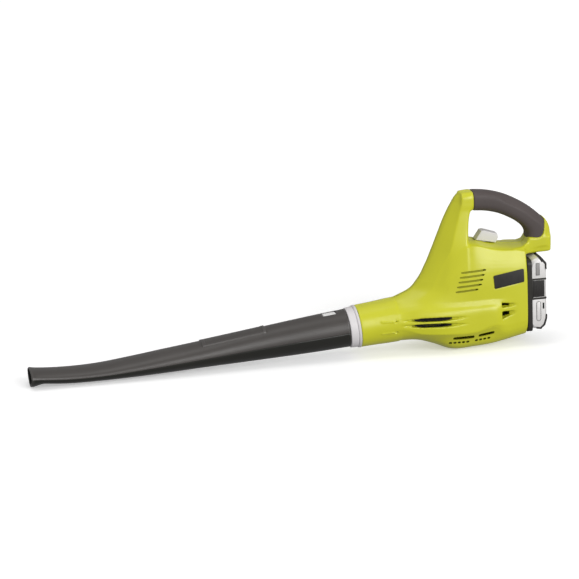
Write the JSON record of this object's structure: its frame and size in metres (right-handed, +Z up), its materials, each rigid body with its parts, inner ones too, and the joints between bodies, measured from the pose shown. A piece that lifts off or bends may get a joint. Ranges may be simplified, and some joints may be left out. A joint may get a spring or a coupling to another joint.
{
  "type": "cordless leaf blower",
  "caption": "Cordless leaf blower: clamshell body with loop handle, slide switch, neck fan, long tapered outlet tube that flattens to a nozzle, and a slide-in rear battery pack.",
  "frame": {"origin": "centre of the bounding box on the floor that the belly and the outlet foot lie on", "axes": "+X towards the battery, -X the way the air leaves, +Z up, Y across the mould parting plane"},
  "size_m": [0.8051, 0.0988, 0.2421],
  "materials": {
    "body_green": "satin moulded",
    "grip_rubber": "soft matt",
    "collar_grey": "fine texture",
    "tube_black": "satin",
    "tab_white": "satin",
    "switch_grey": "satin",
    "badge_dark": "satin",
    "battery_dark": "fine texture",
    "battery_silver": "pearl",
    "bumper_dark": "matt",
    "latch_dark": "ribbed",
    "inner_black": "matt",
    "fan_black": "satin",
    "steel": "zinc plated",
    "magnet": "ferrite",
    "core_steel": "laminated",
    "copper": "enamelled",
    "contact": "bright",
    "wire_red": "insulation",
    "wire_black": "insulation",
    "cell": "wrapped",
    "board": "solder mask"
  },
  "bodies": {
    "housing": {"housing_left": "body_green", "housing_right": "body_green", "grip_left": "grip_rubber", "grip_right": "grip_rubber", "outlet_collar": "collar_grey", "badge_left": "badge_dark", "badge_right": "badge_dark", "air_duct": "inner_black", "stator_vanes": "inner_black", "motor_can": "steel", "motor_magnets": "magnet", "motor_end_cap": "inner_black", "brush_holders": "contact", "bearing_front": "steel", "bearing_rear": "steel", "motor_screws": "steel", "switch_block": "inner_black", "battery_socket": "inner_black", "socket_terminals": "contact", "wire_red": "wire_red", "wire_black": "wire_black", "housing_screws": "steel"},
    "tube": {"blow_tube": "tube_black"},
    "lock_tab": {"tube_lock_tab": "tab_white"},
    "rotor": {"rotor_shaft": "steel", "armature_core": "core_steel", "armature_windings": "copper", "commutator": "copper", "impeller": "fan_black", "impeller_nut": "steel"},
    "switch": {"switch_slider": "switch_grey"},
    "battery": {"battery_shell": "battery_dark", "battery_cover": "battery_silver", "battery_bumpers": "bumper_dark", "battery_cells": "cell", "cell_holder": "inner_black", "battery_board": "board", "battery_terminals": "contact", "battery_screws": "steel"},
    "latch_left": {"battery_latch_left": "latch_dark"},
    "latch_right": {"battery_latch_right": "latch_dark"}
  },
  "joints": [
    {"name": "fan_spin", "type": "hinge", "parent": "housing", "child": "rotor", "pos_m": [0.08185, 0, 0.0445], "axis": [0.9962, 0, 0.0872], "continuous": true},
    {"name": "switch_slide", "type": "slide", "parent": "housing", "child": "switch", "axis": [-0.9781, 0, 0.2079], "range_m": [0, 0.007]},
    {"name": "tube_pull_off", "type": "slide", "parent": "housing", "child": "tube", "axis": [-0.9962, 0, -0.0872], "range_m": [0, 0.06]},
    {"name": "lock_tab_press", "type": "slide", "parent": "housing", "child": "lock_tab", "axis": [0.0872, 0, -0.9962], "range_m": [0, 0.0024], "stiffness_N_per_m": 800, "springref_m": -0.001},
    {"name": "battery_pull_out", "type": "slide", "parent": "housing", "child": "battery", "axis": [1, 0, 0], "range_m": [0, 0.06]},
    {"name": "latch_left_press", "type": "slide", "parent": "battery", "child": "latch_left", "axis": [0, 1, 0], "range_m": [0, 0.003], "stiffness_N_per_m": 1200, "springref_m": -0.001},
    {"name": "latch_right_press", "type": "slide", "parent": "battery", "child": "latch_right", "axis": [0, -1, 0], "range_m": [0, 0.003], "stiffness_N_per_m": 1200, "springref_m": -0.001}
  ]
}
